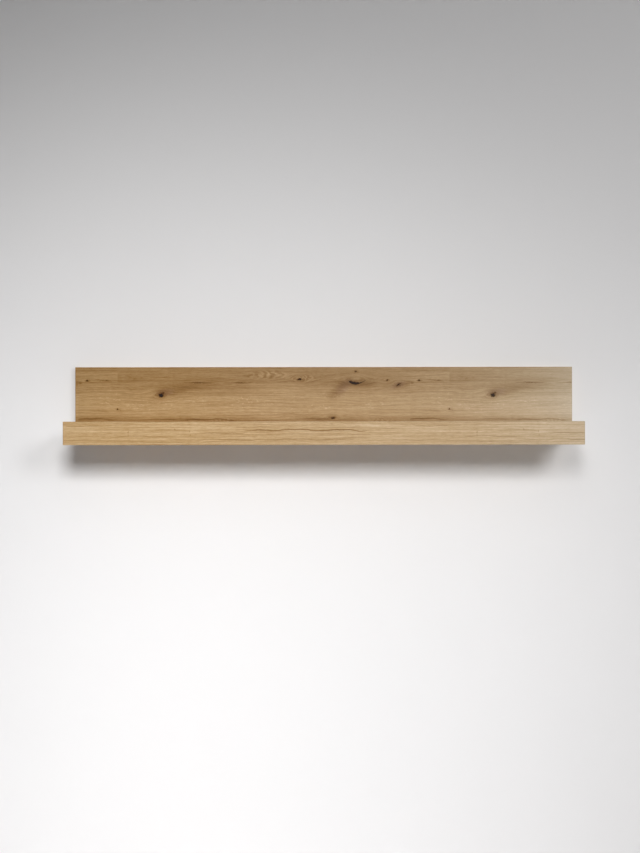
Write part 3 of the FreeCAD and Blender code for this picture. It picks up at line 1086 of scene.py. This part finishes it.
# %% [markdown]
# ## Screws with a real thread
#
# The CAD draws a thread as a stack of rings, which holds the shape but doesn't climb. A
# real thread is one ridge that winds round the core. The screw's skin can be a grid of
# points wrapped round its axis: every point has a turn and a distance along the screw,
# and its radius is a rule of those two. The ridge is a triangle wave of the distance
# less the turn's share of a pitch, so it climbs by one pitch a turn.
#
# Two kinds of screw show at the shelf's rear: long ones with a hexagonal socket that
# pull the board against the panel, and short ones with a cross that hold the hangers.

# %% Helpers: rules for the radius at a distance and a turn
def thread(core, crest, pitch):
    """A ridge that climbs by one pitch for each turn."""
    def radius(distance, turn):
        phase = (distance / pitch - turn) % 1.0
        ridge = max(0.0, 1.0 - abs(2.0 * phase - 1.0) / 0.75)
        return core + (crest - core) * ridge
    return radius


def thread_rows(start, end, core, crest, pitch, rings_to_a_turn):
    """Rows of the skin from a thread's start to its end."""
    rule = thread(core, crest, pitch)
    steps = round((end - start) / pitch * rings_to_a_turn)
    return [(start + (end - start) * step / steps, rule) for step in range(steps + 1)]


def hexagon(reach):
    """A socket with six flat sides, this far from its middle."""
    def radius(distance, turn):
        angle = (turn * math.tau) % (math.tau / 6) - math.tau / 12
        return reach / math.cos(angle)
    return radius


def cross(arm, half_width, taper=1.0):
    """A cross with four arms."""
    def radius(distance, turn):
        angle = (turn * math.tau + math.pi / 4) % (math.pi / 2) - math.pi / 4
        side = half_width / max(abs(math.sin(angle)), 0.05)
        return taper * min(arm / math.cos(angle), side)
    return radius


print("radius rules ready")

# %% Helper: wrap a grid of points round an axis
def wrapped_mesh(name, rows, columns):
    """Rows pair a distance along the axis with a radius, or with a rule for it. The first
    and last rows close into a point, and the screw points along minus Y."""
    shape = bmesh.new()
    rings = []
    for distance, rule in rows:
        ring = []
        for column in range(columns):
            turn = column / columns
            radius = rule(distance, turn) if callable(rule) else rule
            angle = turn * math.tau
            corner = (radius * math.cos(angle), -distance, radius * math.sin(angle))
            ring.append(shape.verts.new(corner))
        rings.append(ring)
    for ring, next_ring in zip(rings, rings[1:]):
        for column in range(columns):
            other = (column + 1) % columns
            shape.faces.new((ring[column], ring[other], next_ring[other], next_ring[column]))
    bmesh.ops.remove_doubles(shape, verts=shape.verts, dist=1e-6)
    bmesh.ops.recalc_face_normals(shape, faces=shape.faces)
    open_edges = [edge for edge in shape.edges if not edge.is_manifold]
    mesh = bpy.data.meshes.new(name)
    shape.to_mesh(mesh)
    shape.free()
    for face in mesh.polygons:
        face.use_smooth = True
    mesh.set_sharp_from_angle(angle=math.radians(32.0))
    print(name, len(mesh.polygons), "faces,", len(open_edges), "open edges")
    return mesh


print("mesh helper ready")

# %% Shape the long screw with a hexagonal socket
long_length = 50.0 * millimetre
long_head = 5.0 * millimetre
long_core = 2.4 * millimetre
long_crest = 3.5 * millimetre
long_pitch = 3.0 * millimetre
shank_end = 20.0 * millimetre
thread_end = 46.0 * millimetre
socket_depth = 2.6 * millimetre
socket = hexagon(2.0 * millimetre)

rows = [(socket_depth, 0.0), (socket_depth, socket), (0.0, socket)]
rows += [(0.0, long_head - 0.2 * millimetre), (0.1 * millimetre, long_head)]
rows += [(0.4 * millimetre, long_head), (3.0 * millimetre, long_crest), (shank_end - millimetre, long_crest)]
rows += thread_rows(shank_end, thread_end, long_core, long_crest, long_pitch, 10)
rows += [(long_length - 0.5 * millimetre, 0.9 * millimetre), (long_length, 0.0)]
long_screw_mesh = wrapped_mesh("long_screw", rows, 48)

# %% Shape the short screw with a cross
short_length = 16.0 * millimetre
short_head = 3.5 * millimetre
short_core = 1.2 * millimetre
short_crest = 1.75 * millimetre
short_pitch = 1.6 * millimetre
head_end = 1.9 * millimetre
thread_end = 13.0 * millimetre
cross_depth = 1.5 * millimetre
arm = 2.0 * millimetre
half_width = 0.45 * millimetre

rows = [(cross_depth, 0.0), (cross_depth, cross(arm, half_width, 0.55)), (0.0, cross(arm, half_width))]
rows += [(0.0, short_head - 0.15 * millimetre), (0.1 * millimetre, short_head), (head_end, short_core)]
rows += thread_rows(head_end, thread_end, short_core, short_crest, short_pitch, 8)[1:]
rows += [(short_length, 0.0)]
short_screw_mesh = wrapped_mesh("short_screw", rows, 32)

# %% [markdown]
# ## Rows of screws with Geometry Nodes
#
# Screws repeat at an even step, so a small node tree sets them out: a line of points,
# one copy of the screw on each, then plain geometry and the metal. The tree has a name
# for everything that may change: the piece, how many, where the first one goes, the
# step to the next, and how many rows. One tree serves both kinds.

# %% Build the tree that sets out rows
row_inputs = {
    "Piece": "NodeSocketObject", "Count": "NodeSocketInt", "First place": "NodeSocketVector",
    "Step": "NodeSocketVector", "Rows": "NodeSocketInt", "Row step": "NodeSocketVector",
}
screw_rows = bpy.data.node_groups.new("rows_of_screws", "GeometryNodeTree")
screw_rows.interface.new_socket("Geometry", in_out="OUTPUT", socket_type="NodeSocketGeometry")
for name, kind in row_inputs.items():
    screw_rows.interface.new_socket(name, in_out="INPUT", socket_type=kind)
given = screw_rows.nodes.new("NodeGroupInput").outputs

tree = Graph(screw_rows)
one_row = tree.node("GeometryNodeMeshLine", {
    "Count": given["Count"], "Start Location": given["First place"], "Offset": given["Step"],
}).outputs[0]
row_starts = tree.node("GeometryNodeMeshLine", {
    "Count": given["Rows"], "Offset": given["Row step"],
}).outputs[0]
all_rows = tree.node("GeometryNodeInstanceOnPoints", {"Points": row_starts, "Instance": one_row}).outputs[0]
points = tree.node("GeometryNodeRealizeInstances", {"Geometry": all_rows}).outputs[0]
pattern = tree.node("GeometryNodeObjectInfo", {"Object": given["Piece"], "As Instance": True})
copies = tree.node("GeometryNodeInstanceOnPoints", {
    "Points": points, "Instance": pattern.outputs["Geometry"],
}).outputs[0]
plain = tree.node("GeometryNodeRealizeInstances", {"Geometry": copies}).outputs[0]
finished = tree.node("GeometryNodeSetMaterial", {"Geometry": plain, "Material": zinc_steel}).outputs[0]
tree.feed(screw_rows.nodes.new("NodeGroupOutput").inputs["Geometry"], finished)
print("nodes in the row tree:", len(screw_rows.nodes))

# %% Helper: run the tree and keep its result as a plain mesh
def set_out(name, pattern_mesh, values):
    """Gives the tree its inputs by their identifiers, and bakes what it makes."""
    pattern = bpy.data.objects.new(name + "_pattern", pattern_mesh)
    holder = add_object(name + "_holder", bpy.data.meshes.new(name + "_holder"))
    modifier = holder.modifiers.new("rows", "NODES")
    modifier.node_group = screw_rows
    values = dict(values, Piece=pattern)
    for item in screw_rows.interface.items_tree:
        if item.in_out == "INPUT":
            modifier[item.identifier] = values[item.name]
    evaluated = holder.evaluated_get(bpy.context.evaluated_depsgraph_get())
    mesh = bpy.data.meshes.new_from_object(evaluated)
    mesh.name = name
    holder.modifiers.clear()
    bpy.data.objects.remove(holder)
    bpy.data.objects.remove(pattern)
    piece = add_object(name, mesh)
    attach(piece, "root")
    return piece


def print_boxes(piece, low, high):
    """Prints the new piece's box under the box of the CAD piece that it replaces."""
    print("CAD box:", rounded(low), rounded(high))
    columns = list(zip(*[tuple(corner) for corner in piece.bound_box]))
    print("new box:", rounded(map(min, columns)), rounded(map(max, columns)))


print("row helper ready")

# %% Set out the long screws
screws_low, screws_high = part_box("assembly_screws")
outer_x = screws_high.x - long_head
screw_height = (screws_low.z + screws_high.z) / 2
assembly_screws = set_out("threaded_assembly_screws", long_screw_mesh, {
    "Count": 5, "First place": (-outer_x, screws_high.y, screw_height), "Step": (outer_x / 2, 0.0, 0.0),
    "Rows": 1, "Row step": (0.0, 0.0, 0.0),
})
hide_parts("assembly_screws")
print_boxes(assembly_screws, screws_low, screws_high)

# %% Set out the short screws, two at each hanger
small_low, small_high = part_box("hanger_screws")
left_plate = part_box("left_hanger_plate")
right_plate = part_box("right_hanger_plate")
first_x = small_low.x + short_head
plate_middle = (left_plate[0].x + left_plate[1].x) / 2
hanger_screws = set_out("threaded_hanger_screws", short_screw_mesh, {
    "Count": 2, "First place": (first_x, small_high.y, (small_low.z + small_high.z) / 2),
    "Step": (2 * (plate_middle - first_x), 0.0, 0.0),
    "Rows": 2, "Row step": (right_plate[0].x - left_plate[0].x, 0.0, 0.0),
})
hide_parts("hanger_screws")
print_boxes(hanger_screws, small_low, small_high)

# %% [markdown]
# ## Print the size and finish
#
# The dressed model must keep the CAD's box. Both sizes are printed, first of the CAD and
# then of the dressed model.

# %% Print the sizes and finish
dressed_low, dressed_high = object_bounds()
print("CAD size:", rounded(cad_high - cad_low))
print("dressed size:", rounded(dressed_high - dressed_low))
